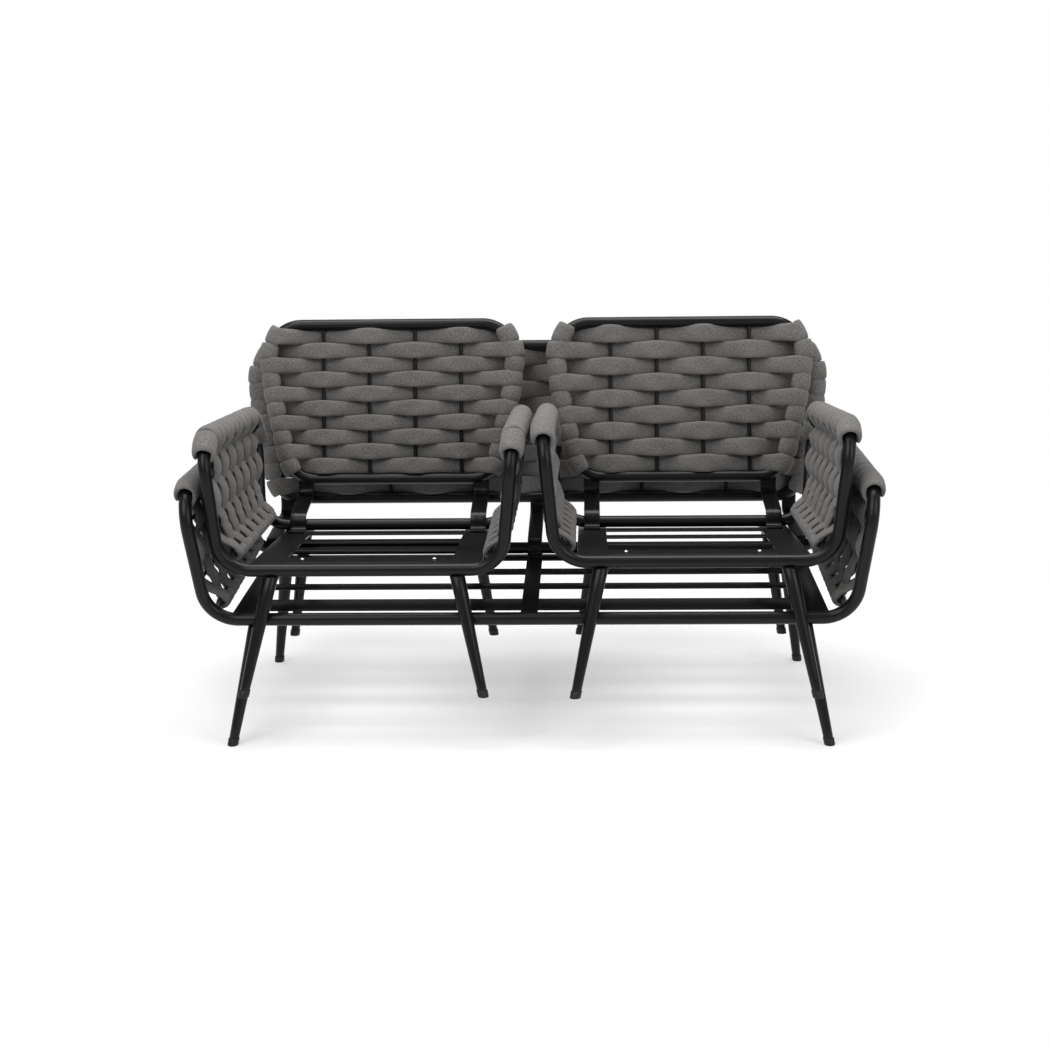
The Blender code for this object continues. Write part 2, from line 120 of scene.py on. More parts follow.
# Back brackets: a flat bar with two pressed ribs
BAR_T = 0.005
BAR_FOOT = 0.030
BAR_RISE = 0.021
BAR_UNDER = 0.036
BAR_OVER = 0.0005
BAR_FOOT_BEND = 0.010
BAR_BEND = 0.02
BAR_EDGE_R = 0.0009
RIB_SHARE = 0.36
RIB_HALF_W = 0.0035
RIB_RISE = 0.0014
RIB_FROM = 0.2
RIB_OVER = 0.45
RIB_CRESTS = (4, 7)

# Screws: a button head with a socket, as heights and shares of its radius
SCREW_R = 0.005
SCREW_X = 0.13
BUTTON = ((0, 1.0), (0.0009, 1.0), (0.0018, 0.8), (0.0022, 0.55), (0.0018, 0.45), (0.0008, 0.42))
BUTTON_SIDES = 24

# How many flat sides the solids' tubes and legs have
PART_TUBE_SIDES = 8
PART_LEG_SIDES = 12

# Weave: strap width as a share of the pitch, on a crest and where it dips between rods
CREST_W = 1.15
DIP_W = 1.01
WRAP_W = 1.12
ROLL_W = 0.99
FOOT_W = 1.2
TOP_ROW_WRAP = 1.16
ARM_CREST_W = 1.36
ARM_DIP_W = 1.42
END_SLANT = 0.5
DIP_T = 0.86
CUP = 0.0030
STRAP_SIDES = 18
STRAP_STEP = 0.005
END_TAPER = 0.009
END_WIDTH = 0.55
END_FLOOR = 0.02
WRINKLE = 0.0004
WRINKLE_SCALES = (38.0, 90.0)
SECTION_W_POWER = 0.80
SECTION_T_POWER = 0.84
UV_SHIFT = 0.37
STUB = ((0.005, 0.0003), (0.010, 0.0014), (0.015, 0.0036), (0.019, 0.0064))
BACK_STEPS = 15
ARM_STEPS = 12
WRAP_STEP = 9
FOOT_TURN = 230
ROLL_TURN = 220
PROBE = 0.004
BEND_PROBE = 0.002
BEND_REACH = 0.9
ALONG_Y = Vector((0, 1, 0))

# Colours, each a dark and a light end
CLOTH_TONES = ((0.062, 0.0585, 0.055), (0.180, 0.172, 0.163))
COAT_TONES = ((0.0028, 0.0026, 0.0027), (0.0055, 0.0052, 0.0054))
CAP_TONES = ((0.006, 0.006, 0.0065), (0.010, 0.010, 0.011))
STEEL_TONES = ((0.42, 0.42, 0.43), (0.62, 0.62, 0.63))

# Cloth pattern: stretch of the flecks each way, stretch of the slow clouds, and their strengths
FLECKS_ALONG = (240.0, 700.0, 1.0)
FLECKS_ACROSS = (800.0, 260.0, 1.0)
CLOUDS = (18.0, 24.0, 1.0)
FLECK_GAIN = 1.6
CLOUD_GAIN = 0.5
THREAD_GAIN = 0.10

# Studio: each light has a name, a place, an aim, a size and a power
LIGHTS = (("key", (-1.6, -2.4, 3.2), (0, 0, 0.35), (2.4, 2.4), 68),
          ("fill", (2.6, -2.2, 2.2), (0, 0, 0.35), (2.0, 2.0), 35),
          ("top", (0.0, 0.4, 3.4), (0, 0, 0.3), (3.2, 2.0), 120))
WORLD_COLOUR = (0.95, 0.97, 1.0, 1)
WORLD_STRENGTH = 0.45
FLOOR_HALF = 20.0
FADE_FROM = 0.75
FADE_TO = 1.7
FADE_LOW = 0.4


class Seat:
    """The sizes that differ between the sofa and an armchair."""

    def __init__(self, name, body, deck_rise, roll_z, corner_x, top_x, plate, tail_x, plate_rear,
                 bracket_xs, bracket_w, back_xs, back_y, back_z, recline, rods, rows, parity, front_leg,
                 rear_leg, bar_w=0.0, extra_leg=0.0, left_extra=(0.0, 0.0), screws=False):
        self.name = name
        self.body = body
        self.deck_rise = math.tan(math.radians(deck_rise))
        self.roll_z = roll_z
        self.corner_x = corner_x
        self.top_x = top_x
        self.plate = plate
        self.tail_x = tail_x
        self.plate_rear = plate_rear
        self.bracket_xs = bracket_xs
        self.bracket_w = bracket_w
        self.back_xs = back_xs
        self.back_y = back_y
        self.back_z = back_z
        self.recline = math.radians(recline)
        self.rods = rods
        self.rows = rows
        self.parity = parity
        self.front_leg = front_leg
        self.rear_leg = rear_leg
        self.bar_w = bar_w
        self.extra_leg = extra_leg
        self.left_extra = left_extra
        self.screws = screws
        self.place = Matrix.Identity(4)


def chair(name, body, roll_z, rows, parity, extra_leg, left_extra):
    """An armchair; both have one pattern and differ in strap rows, front legs and the left arm."""
    return Seat(name, body, deck_rise=0.0, roll_z=roll_z, corner_x=0.2665, top_x=0.290,
                plate=(0.165, 0.225), tail_x=0.165, plate_rear=0.262,
                bracket_xs=(-0.195, 0.195), bracket_w=0.034,
                back_xs=(0.222, 0.262, 0.279), back_y=0.322, back_z=0.346, recline=7.5,
                rods=(4, 0.1016), rows=rows, parity=parity, front_leg=(0.180, 0.2303),
                rear_leg=(0.185, 0.246, 0.2222, 0.285), extra_leg=extra_leg,
                left_extra=left_extra, screws=True)


SOFA = Seat("sofa", "sofa", deck_rise=1.2, roll_z=0.479, corner_x=0.6219, top_x=0.6529,
            plate=(0.529, 0.577), tail_x=0.5495, plate_rear=0.255,
            bracket_xs=(-0.568, 0.0, 0.568), bracket_w=0.031,
            back_xs=(0.585, 0.620, 0.630), back_y=0.41, back_z=0.341, recline=6.9, rods=(12, 0.0945),
            rows=9, parity=0, front_leg=(0.529, 0.575), rear_leg=(0.540, 0.215, 0.575, 0.2625), bar_w=0.033)
LEFT = chair("left", "chair_left", roll_z=0.460, rows=10, parity=0, extra_leg=0.0,
             left_extra=(0.012, 0.008))
RIGHT = chair("right", "chair_right", roll_z=0.469, rows=9, parity=1, extra_leg=0.017,
              left_extra=(0.0, 0.0))
TILT_PIVOT = Vector((0.0, FOOT_Y, 0.0))
CHAIR_PLACES = ((LEFT, -0.3165, 0.0593, math.radians(4.36)),
                (RIGHT, 0.3185, 0.0610, math.radians(5.69)))


def deck_top(seat, y):
    """Height of the deck's top face."""
    return DECK_FRONT_Z + (y - RAIL_Y) * seat.deck_rise


def rear_z(seat):
    """Height of the rear rail, which lies on the deck."""
    return deck_top(seat, REAR_Y) + TUBE_R + GAP


# Places of the three seats, in the frame's own coordinates

def set_places():
    """The sofa's place comes from its deck in the frame; the chairs rest against its front rail."""
    shift = Matrix.Translation((0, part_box("sofa_deck")[0].y - (RAIL_Y + TUBE_R + GAP), 0))
    SOFA.place = shift
    for seat, sideways, lift, tilt in CHAIR_PLACES:
        seat.place = shift @ resting_place(seat, sideways, lift, tilt)


def resting_place(seat, sideways, lift, tilt):
    """The armchair is pushed back until its front legs meet the sofa's front rail."""
    turn = Matrix.Translation(TILT_PIVOT) @ Matrix.Rotation(-tilt, 4, "X") @ Matrix.Translation(-TILT_PIVOT)
    turn = Matrix.Translation((sideways, 0, lift)) @ turn
    top, foot = (turn @ end for end in front_leg_ends(seat, 1))
    share = (RAIL_Z - foot.z) / (top.z - foot.z)
    leg_flat = (LEG_LOW_R + (LEG_TOP_R - LEG_LOW_R) * share) * math.cos(math.pi / PART_LEG_SIDES)
    tube_flat = TUBE_R * math.cos(math.pi / PART_TUBE_SIDES)
    along = Vector((top.y - foot.y, top.z - foot.z)).normalized()
    ahead = Vector((-along.y, along.x))
    apart = (Vector((foot.y, foot.z)) - Vector((RAIL_Y, RAIL_Z))).dot(ahead)
    push = (apart - tube_flat - leg_flat - GAP) / along.y
    return Matrix.Translation((0, push, 0)) @ turn


# Material effects, each built once as a node group

def new_group(name, inputs, outputs):
    """An empty shader node group with float inputs and named outputs."""
    group = bpy.data.node_groups.new(name, "ShaderNodeTree")
    for label, value in inputs:
        socket = group.interface.new_socket(label, in_out="INPUT", socket_type="NodeSocketFloat")
        socket.default_value = value
    for label, kind in outputs:
        group.interface.new_socket(label, in_out="OUTPUT", socket_type=kind)
    return group, group.nodes.new("NodeGroupInput"), group.nodes.new("NodeGroupOutput")


def math_node(tree, operation, first, second=None, clamp=False):
    """A Math node fed by sockets or plain numbers."""
    node = tree.nodes.new("ShaderNodeMath")
    node.operation = operation
    node.use_clamp = clamp
    for slot, value in enumerate((first, second)):
        if isinstance(value, (int, float)):
            node.inputs[slot].default_value = value
        elif value is not None:
            tree.links.new(value, node.inputs[slot])
    return node.outputs[0]


def stretched_noise(tree, vector, scales, roughness):
    """Noise on a vector stretched by three scales."""
    mapping = tree.nodes.new("ShaderNodeMapping")
    mapping.inputs["Scale"].default_value = scales
    tree.links.new(vector, mapping.inputs["Vector"])
    grain = tree.nodes.new("ShaderNodeTexNoise")
    grain.inputs["Scale"].default_value = 1.0
    grain.inputs["Detail"].default_value = 2.0
    grain.inputs["Roughness"].default_value = roughness
    tree.links.new(mapping.outputs["Vector"], grain.inputs["Vector"])
    return grain.outputs["Fac"]


def heather_group():
    """Melange cloth: dark and light threads, crossing in a plain weave; UV is in metres."""
    group, given, out = new_group("heather_weave", (("Threads per metre", 900.0), ("Contrast", 1.0)),
                                  (("Tone", "NodeSocketFloat"), ("Height", "NodeSocketFloat")))
    uv = group.nodes.new("ShaderNodeUVMap")
    split = group.nodes.new("ShaderNodeSeparateXYZ")
    group.links.new(uv.outputs["UV"], split.inputs[0])
    waves = []
    for axis in ("X", "Y"):
        turns = math_node(group, "MULTIPLY", split.outputs[axis], given.outputs["Threads per metre"])
        waves.append(math_node(group, "SINE", math_node(group, "MULTIPLY", turns, math.pi)))
    crossing = math_node(group, "MULTIPLY", waves[0], waves[1])
    flecks = stretched_noise(group, uv.outputs["UV"], FLECKS_ALONG, 0.6)
    flecks_across = stretched_noise(group, uv.outputs["UV"], FLECKS_ACROSS, 0.6)
    clouds = stretched_noise(group, uv.outputs["UV"], CLOUDS, 0.5)
    both = math_node(group, "ADD", flecks, flecks_across)
    centred = math_node(group, "SUBTRACT", both, 1.0)
    strong = math_node(group, "MULTIPLY", centred, FLECK_GAIN)
    cloudy = math_node(group, "MULTIPLY", math_node(group, "SUBTRACT", clouds, 0.5), CLOUD_GAIN)
    threads = math_node(group, "MULTIPLY", crossing, THREAD_GAIN)
    mixed = math_node(group, "ADD", math_node(group, "ADD", strong, cloudy), threads)
    scaled = math_node(group, "MULTIPLY", mixed, given.outputs["Contrast"])
    tone = math_node(group, "ADD", scaled, 0.5, clamp=True)
    height = math_node(group, "ADD", math_node(group, "MULTIPLY", crossing, 0.5), both)
    group.links.new(tone, out.inputs["Tone"])
    group.links.new(height, out.inputs["Height"])
    return group


def coat_group():
    """Moulded or sprayed surface: fine orange peel, and slow changes of sheen and tone."""
    group, given, out = new_group("coat_mottle", (("Peel size", 900.0), ("Spread", 0.1)),
                                  (("Roughness shift", "NodeSocketFloat"), ("Tone", "NodeSocketFloat"),
                                   ("Height", "NodeSocketFloat")))
    place = group.nodes.new("ShaderNodeNewGeometry")
    peel = group.nodes.new("ShaderNodeTexNoise")
    peel.inputs["Detail"].default_value = 2.0
    group.links.new(place.outputs["Position"], peel.inputs["Vector"])
    group.links.new(given.outputs["Peel size"], peel.inputs["Scale"])
    slow = group.nodes.new("ShaderNodeTexNoise")
    slow.inputs["Scale"].default_value = 14.0
    slow.inputs["Detail"].default_value = 4.0
    group.links.new(place.outputs["Position"], slow.inputs["Vector"])
    shift = math_node(group, "MULTIPLY", math_node(group, "SUBTRACT", slow.outputs["Fac"], 0.5),
                      given.outputs["Spread"])
    group.links.new(shift, out.inputs["Roughness shift"])
    group.links.new(slow.outputs["Fac"], out.inputs["Tone"])
    group.links.new(peel.outputs["Fac"], out.inputs["Height"])
    return group


HEATHER = heather_group()
COAT = coat_group()


def new_material(name):
    """A material with its node tree and its main shader."""
    made = bpy.data.materials.new(name)
    made.use_nodes = True
    return made, made.node_tree, made.node_tree.nodes["Principled BSDF"]


def place_group(tree, group, **values):
    """One use of a node group, with its inputs set."""
    node = tree.nodes.new("ShaderNodeGroup")
    node.node_tree = group
    for label, value in values.items():
        node.inputs[label.replace("_", " ")].default_value = value
    return node


def colour_between(tree, factor, low, high):
    """A ramp between two colours."""
    ramp = tree.nodes.new("ShaderNodeValToRGB")
    ramp.color_ramp.elements[0].color = (*low, 1.0)
    ramp.color_ramp.elements[1].color = (*high, 1.0)
    tree.links.new(factor, ramp.inputs["Fac"])
    return ramp.outputs["Color"]


def bump_into(tree, shader, height, distance, strength):
    """A bump from a height, fed to the shader."""
    bump = tree.nodes.new("ShaderNodeBump")
    bump.inputs["Strength"].default_value = strength
    bump.inputs["Distance"].default_value = distance
    tree.links.new(height, bump.inputs["Height"])
    tree.links.new(bump.outputs["Normal"], shader.inputs["Normal"])


def strap_material():
    """Padded outdoor cloth, heathered grey."""
    made, tree, shader = new_material("heathered_strap")
    cloth = place_group(tree, HEATHER, Threads_per_metre=900.0, Contrast=1.0)
    colour = colour_between(tree, cloth.outputs["Tone"], *CLOTH_TONES)
    tree.links.new(colour, shader.inputs["Base Color"])
    shader.inputs["Roughness"].default_value = 0.9
    shader.inputs["Sheen Weight"].default_value = 0.12
    shader.inputs["Sheen Roughness"].default_value = 0.45
    shader.inputs["Specular IOR Level"].default_value = 0.25
    bump_into(tree, shader, cloth.outputs["Height"], 0.0004, 0.5)
    return made


def coat_material(name, tones, roughness, gleam, peel, spread, bump):
    """A dark finish with orange peel or moulding grain."""
    made, tree, shader = new_material(name)
    coat = place_group(tree, COAT, Peel_size=peel, Spread=spread)
    tree.links.new(colour_between(tree, coat.outputs["Tone"], *tones), shader.inputs["Base Color"])
    rough = math_node(tree, "ADD", coat.outputs["Roughness shift"], roughness)
    tree.links.new(rough, shader.inputs["Roughness"])
    shader.inputs["Specular IOR Level"].default_value = gleam
    bump_into(tree, shader, coat.outputs["Height"], 0.0002, bump)
    return made


def steel_material():
    """Bright steel for the screws."""
    made, tree, shader = new_material("bright_steel")
    coat = place_group(tree, COAT, Peel_size=2500.0, Spread=0.15)
    tree.links.new(colour_between(tree, coat.outputs["Tone"], *STEEL_TONES), shader.inputs["Base Color"])
    rough = math_node(tree, "ADD", coat.outputs["Roughness shift"], 0.28)
    tree.links.new(rough, shader.inputs["Roughness"])
    shader.inputs["Metallic"].default_value = 1.0
    return made


STRAP = strap_material()
BLACK_COAT = coat_material("black_powder_coat", COAT_TONES, roughness=0.30, gleam=0.22, peel=1100.0,
                           spread=0.10, bump=0.25)
CAP_PLASTIC = coat_material("foot_cap_plastic", CAP_TONES, roughness=0.50, gleam=0.30, peel=1600.0,
                            spread=0.10, bump=0.35)
STEEL = steel_material()


# Mesh helpers

def piece(name, seat, mesh, finish, replaces=(), smooth_angle=40.0):
    """A finished piece: placed with its seat, riding on the seat's body."""
    mesh.name = name
    mesh.transform(seat.place)
    mesh.materials.clear()
    mesh.materials.append(finish)
    mesh.shade_smooth()
    mesh.set_sharp_from_angle(angle=math.radians(smooth_angle))
    obj = bpy.data.objects.new(name, mesh)
    bpy.context.scene.collection.objects.link(obj)
    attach(obj, seat.body)
    if replaces:
        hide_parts(*replaces)
    return obj


def rounded(corners, closed):
    """A path through corners, each a point with its bend radius; ends keep their points."""
    count = len(corners)
    path = []
    for i, (point, radius) in enumerate(corners):
        if radius == 0 or (not closed and i in (0, count - 1)):
            path.append(point.copy())
            continue
        back = (corners[i - 1][0] - point).normalized()
        ahead = (corners[(i + 1) % count][0] - point).normalized()
        turn = math.pi - back.angle(ahead)
        reach = radius * math.tan(turn / 2)
        centre = point + (back + ahead).normalized() * (radius / math.cos(turn / 2))
        start = point + back * reach - centre
        normal = back.cross(ahead).normalized()
        steps = max(2, math.ceil(turn / BEND_STEP))
        for k in range(steps + 1):
            path.append(centre + Matrix.Rotation(-turn * k / steps, 3, normal) @ start)
    return path


def tube_mesh(points, radius, closed=False, resolution=10):
    """A round tube along the points."""
    curve = bpy.data.curves.new("tube", "CURVE")
    curve.dimensions = "3D"
    curve.bevel_depth = radius
    curve.bevel_resolution = resolution
    curve.use_fill_caps = not closed
    spline = curve.splines.new("POLY")
    spline.points.add(len(points) - 1)
    for place, point in zip(spline.points, points):
        place.co = (*point, 1.0)
    spline.use_cyclic_u = closed
    carrier = bpy.data.objects.new("tube", curve)
    bpy.context.scene.collection.objects.link(carrier)
    mesh = bpy.data.meshes.new_from_object(carrier)
    bpy.data.objects.remove(carrier, do_unlink=True)
    bpy.data.curves.remove(curve)
    return mesh


def joined(meshes):
    """Several meshes as one."""
    shape = bmesh.new()
    for mesh in meshes:
        shape.from_mesh(mesh)
    bmesh.ops.remove_doubles(shape, verts=shape.verts, dist=0.000001)
    bmesh.ops.recalc_face_normals(shape, faces=shape.faces)
    whole = bpy.data.meshes.new("joined")
    shape.to_mesh(whole)
    shape.free()
    return whole


def loft(rings):
    """A solid through rings of equal count, closed at both ends."""
    mesh = bpy.data.meshes.new("loft")
    shape = bmesh.new()
    loops = [[shape.verts.new(point) for point in ring] for ring in rings]
    size = len(rings[0])
    for low, high in zip(loops, loops[1:]):
        for i in range(size):
            j = (i + 1) % size
            shape.faces.new((low[i], low[j], high[j], high[i]))
    shape.faces.new(loops[0])
    shape.faces.new(loops[-1])
    bmesh.ops.recalc_face_normals(shape, faces=shape.faces)
    shape.to_mesh(mesh)
    shape.free()
    return mesh


def circle(centre, radius, sides):
    """Points on a level circle."""
    return [centre + Vector((math.cos(a), math.sin(a), 0)) * radius
            for a in (2 * math.pi * (i + 0.5) / sides for i in range(sides))]


# The loop of tube and the arm rods

def hoop_corner(seat, side, rear, top):
    """Where the straight runs of a post and a rail would meet."""
    x = seat.top_x if top else seat.corner_x
    if side < 0:
        x += seat.left_extra[int(top)]
    if top:
        return Vector((side * x, REAR_TOP_Y if rear else FRONT_TOP_Y, ARM_Z))
    return Vector((side * x, REAR_Y if rear else RAIL_Y, rear_z(seat) if rear else RAIL_Z))


def post_point(seat, side, rear, share):
    """A point on a post's straight line, from its rail (0) to its arm (1)."""
    return hoop_corner(seat, side, rear, False).lerp(hoop_corner(seat, side, rear, True), share)


def low_rod_point(seat, side, rear):
    """The low rod lies inside the bend between rail and post."""
    corner = hoop_corner(seat, side, rear, False)
    inward = Vector((-side, 0, 0))
    upward = (hoop_corner(seat, side, rear, True) - corner).normalized()
    half_turn = (math.pi - inward.angle(upward)) / 2
    bend_mid = HOOP_R / math.cos(half_turn) - HOOP_R
    return corner + (inward + upward).normalized() * (bend_mid + LOW_ROD_INSET)


def frame_path(seat):
    """The closed loop: front rail, right arm, rear rail, left arm."""
    stops = ((1, False, False), (1, False, True), (1, True, True), (1, True, False),
             (-1, True, False), (-1, True, True), (-1, False, True), (-1, False, False))
    return rounded([(hoop_corner(seat, *stop), HOOP_R) for stop in stops], closed=True)


def arm_path(seat, side):
    """One arm's stretch of the loop, from the front rail to the rear rail."""
    inside = 0.5 * seat.corner_x
    corners = [(Vector((side * inside, RAIL_Y, RAIL_Z)), 0)]
    corners += [(hoop_corner(seat, side, rear, top), HOOP_R)
                for rear, top in ((False, False), (False, True), (True, True), (True, False))]
    corners.append((Vector((side * inside, REAR_Y, rear_z(seat))), 0))
    return rounded(corners, closed=False)


def rod_lines(seat, side):
    """The ends of one arm's rods, the low rod last."""
    lines = [(post_point(seat, side, False, share), post_point(seat, side, True, share))
             for share in ARM_ROD_SHARES]
    lines.append((low_rod_point(seat, side, False), low_rod_point(seat, side, True)))
    return lines


def make_frame(seat):
    """The loop, and the rods that its arms are woven on."""
    loop = tube_mesh(frame_path(seat), TUBE_R, closed=True)
    piece(seat.name + "_tube_loop", seat, loop, BLACK_COAT, [seat.name + "_frame"])
    rods = [tube_mesh(line, ROD_R, resolution=4) for side in (-1, 1) for line in rod_lines(seat, side)]
    piece(seat.name + "_arm_rods", seat, joined(rods), BLACK_COAT)


# The back frame

def back_point(seat, x, v, n=0.0):
    """A point of the back: sideways, up its slope and forward of it."""
    up = Vector((0, math.sin(seat.recline), math.cos(seat.recline)))
    forward = Vector((0, -math.cos(seat.recline), math.sin(seat.recline)))
    return Vector((x, seat.back_y, seat.back_z)) + up * v + forward * n


def back_path(seat):
    """The closed loop of the back, wider at its waist than at its foot."""
    low, waist, top = seat.back_xs
    right = [(back_point(seat, low, 0), BACK_LOW_R), (back_point(seat, waist, BACK_WAIST_V), BACK_WAIST_R),
             (back_point(seat, top, BACK_H), BACK_TOP_R)]
    left = [(Vector((-p.x, p.y, p.z)), r) for p, r in reversed(right)]
    return rounded(right + left, closed=True)


def back_side(seat):
    """The right side tube as heights and half widths, from low to high."""
    foot = back_point(seat, 0, 0)
    up = back_point(seat, 0, 1) - foot
    side = sorted(((p - foot).dot(up), p.x) for p in back_path(seat) if p.x > 0)
    return np.array([v for v, _ in side]), np.array([x for _, x in side])


def back_rod_xs(seat):
    """The upright rods, evenly spaced about the middle."""
    count, pitch = seat.rods
    return [(i - (count - 1) / 2) * pitch for i in range(count)]


def make_back_frame(seat):
    """The back's loop and its upright rods."""
    loop = tube_mesh(back_path(seat), TUBE_R, closed=True)
    piece(seat.name + "_back_tube", seat, loop, BLACK_COAT, [seat.name + "_back_frame"])
    rods = [tube_mesh((back_point(seat, x, 0), back_point(seat, x, BACK_H)), ROD_R, resolution=4)
            for x in back_rod_xs(seat)]
    piece(seat.name + "_back_rods", seat, joined(rods), BLACK_COAT)


# Straps

class StrapMesh:
    """Collects swept straps into one mesh with UVs in metres."""

    def __init__(self):
        self.verts = []
        self.faces = []
        self.uvs = []
        self.count = 0
        angles = 2 * math.pi * (np.arange(STRAP_SIDES) + 0.5) / STRAP_SIDES
        self.wide = np.sign(np.cos(angles)) * np.abs(np.cos(angles)) ** SECTION_W_POWER
        self.thick = np.sign(np.sin(angles)) * np.abs(np.sin(angles)) ** SECTION_T_POWER

    def add(self, points, across, width, thick, cup):
        """Sweep a padded section along points; cup bends its edges back towards the rods."""
        points, across, width, thick, cup = resampled(points, across, width, thick, cup)
        ahead = np.gradient(points, axis=0)
        ahead /= np.linalg.norm(ahead, axis=1)[:, None]
        across = across - ahead * np.sum(across * ahead, axis=1)[:, None]
        across /= np.linalg.norm(across, axis=1)[:, None]
        out = np.cross(ahead, across)
        length = lengths_along(points)
        near_end = np.clip(np.minimum(length, length[-1] - length) / END_TAPER, 0, 1)
        close = np.sqrt(np.clip(1 - (1 - near_end) ** 2, END_FLOOR, 1))
        section_w = (width / 2 * (END_WIDTH + (1 - END_WIDTH) * close))[:, None] * self.wide[None, :]
        section_t = (thick / 2 * close)[:, None] * self.thick[None, :]
        section_t = section_t - cup[:, None] * (self.wide[None, :] ** 2)
        grid = (points[:, None, :] + across[:, None, :] * section_w[:, :, None]
                + out[:, None, :] * section_t[:, :, None])
        self.verts.append(self.wrinkled(grid.reshape(-1, 3), out))
        self.add_faces(length, width.mean() * 2 / STRAP_SIDES)

    def wrinkled(self, flat, out):
        """The section's points, swollen a little in and out."""
        coarse, fine = WRINKLE_SCALES
        push = np.repeat(out[:, None, :], STRAP_SIDES, axis=1).reshape(-1, 3)
        sign = np.tile(np.sign(self.thick), len(out))
        swell = np.array([noise.noise(Vector(p) * coarse) + 0.5 * noise.noise(Vector(p) * fine)
                          for p in flat])
        return flat + push * (sign * swell * WRINKLE)[:, None]

    def add_faces(self, length, around):
        """Faces between the last strap's sections; each strap has its own stretch of cloth."""
        n = len(length)
        base = self.count
        offset = UV_SHIFT * len(self.verts)
        for i in range(n - 1):
            for k in range(STRAP_SIDES):
                j = (k + 1) % STRAP_SIDES
                self.faces.append((base + i * STRAP_SIDES + k, base + i * STRAP_SIDES + j,
                                   base + (i + 1) * STRAP_SIDES + j, base + (i + 1) * STRAP_SIDES + k))
                u0, u1 = length[i] + offset, length[i + 1] + offset
                v0, v1 = k * around, (k + 1) * around
                self.uvs += [(u0, v0), (u0, v1), (u1, v1), (u1, v0)]
        for ring in (0, n - 1):
            start = base + ring * STRAP_SIDES
            loop = list(range(start, start + STRAP_SIDES))
            self.faces.append(loop if ring else loop[::-1])
            self.uvs += [(0.0, 0.0)] * STRAP_SIDES
        self.count += n * STRAP_SIDES

    def mesh(self):
        """All straps so far."""
        made = bpy.data.meshes.new("straps")
        made.from_pydata(np.concatenate(self.verts).tolist(), [], self.faces)
        layer = made.uv_layers.new(name="UVMap")
        layer.data.foreach_set("uv", np.array(self.uvs, np.float32).ravel())
        shape = bmesh.new()
        shape.from_mesh(made)
        bmesh.ops.recalc_face_normals(shape, faces=shape.faces)
        shape.to_mesh(made)
        shape.free()
        return made


def lengths_along(points):
    """The length from the first point to each point."""
    return np.concatenate([[0], np.cumsum(np.linalg.norm(np.diff(points, axis=0), axis=1))])


def resampled(points, across, width, thick, cup):
    """The same strap, with points an even step apart."""
    points = np.array(points, float)
    across = np.array(across, float)
    length = lengths_along(points)
    steps = max(8, int(length[-1] / STRAP_STEP))
    even = np.linspace(0, length[-1], steps + 1)

    def read(values):
        return np.interp(even, length, values)

    def read3(values):
        return np.stack([read(values[:, i]) for i in range(3)], axis=1)

    return read3(points), read3(across), read(width), read(thick), read(cup)


def wrap(centre, outward, normal, radius, start, end):
    """Points round a tube, from one angle to another; 0 faces outward, 90 along normal."""
    steps = max(4, int(abs(end - start) / WRAP_STEP))
    angles = [math.radians(start + (end - start) * k / steps) for k in range(steps + 1)]
    return [centre + (outward * math.cos(a) + normal * math.sin(a)) * radius for a in angles]


def dip(u):
    """1 at both stations and 0 half way between them."""
    return 0.5 + 0.5 * math.cos(2 * math.pi * u)


def ease(u):
    """0 to 1, level at both ends."""
    return 0.5 - 0.5 * math.cos(math.pi * u)


class StrapLine:
    """The middle line of one strap, with its width, thickness and cupping at each point."""

    def __init__(self):
        self.points = []
        self.across = []
        self.width = []
        self.thick = []
        self.cup = []

    def put(self, point, across, width, thick=STRAP_T, cup=0.0):
        """One more point."""
        self.points.append(point)
        self.across.append(across)
        self.width.append(width)
        self.thick.append(thick)
        self.cup.append(cup)

    def put_all(self, points, across, width):
        """A flat run of points with one direction and width."""
        for point in points:
            self.put(point, across, width)

    def values(self):
        """The lists in the order that StrapMesh.add takes them."""
        return self.points, self.across, self.width, self.thick, self.cup


